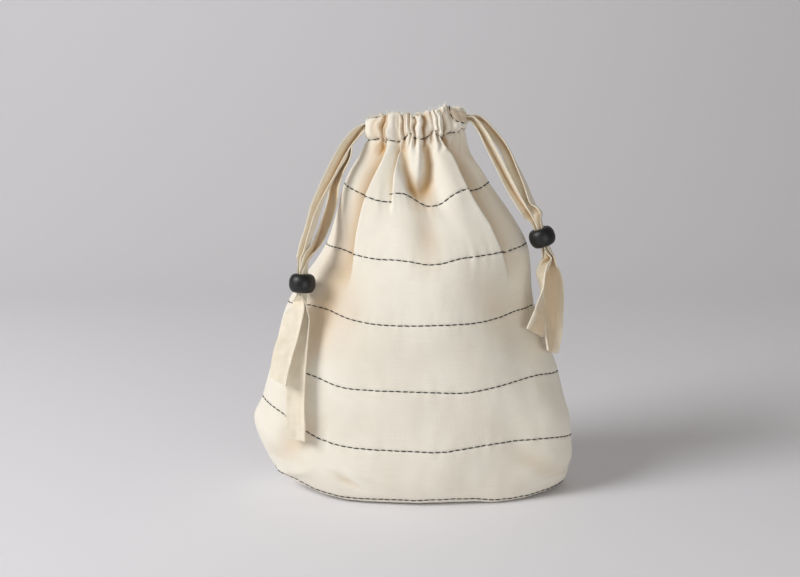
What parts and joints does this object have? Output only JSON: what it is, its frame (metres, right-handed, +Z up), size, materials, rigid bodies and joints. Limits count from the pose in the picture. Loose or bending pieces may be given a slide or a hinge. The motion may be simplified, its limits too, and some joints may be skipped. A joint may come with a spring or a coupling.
{
  "type": "drawstring pouch",
  "caption": "Cotton drawstring pouch, 242 mm tall, standing filled: gathered neck, six rows of dark topstitching, two tape drawstrings with sliding black drum beads",
  "frame": {"origin": "on the ground, under the middle of the bounding box", "axes": "+Z up, -Y towards the front panel, +X towards the right side seam seen from the front"},
  "size_m": [0.202, 0.0958, 0.2418],
  "materials": {
    "cotton": "matte",
    "tape": "matte",
    "thread": "matte",
    "bead": "satin"
  },
  "bodies": {
    "pouch": {"front_panel": "cotton", "back_panel": "cotton", "front_stitch_row_1": "thread", "front_stitch_row_2": "thread", "front_stitch_row_3": "thread", "front_stitch_row_4": "thread", "front_stitch_row_5": "thread", "front_stitch_row_6": "thread", "front_casing_stitch": "thread", "back_stitch_row_1": "thread", "back_stitch_row_2": "thread", "back_stitch_row_3": "thread", "back_stitch_row_4": "thread", "back_stitch_row_5": "thread", "back_stitch_row_6": "thread", "back_casing_stitch": "thread", "left_drawstring": "tape", "right_drawstring": "tape", "left_drawstring_front_end": "tape", "left_drawstring_back_end": "tape", "right_drawstring_front_end": "tape", "right_drawstring_back_end": "tape"},
    "left_bead_body": {"left_bead": "bead"},
    "right_bead_body": {"right_bead": "bead"}
  },
  "joints": [
    {"name": "left_bead_slide", "type": "slide", "parent": "pouch", "child": "left_bead_body", "axis": [0.0398, 0.0994, 0.9942], "range_m": [-0.006, 0.008]},
    {"name": "right_bead_slide", "type": "slide", "parent": "pouch", "child": "right_bead_body", "axis": [-0.3401, 0, 0.9404], "range_m": [-0.006, 0.005]}
  ]
}
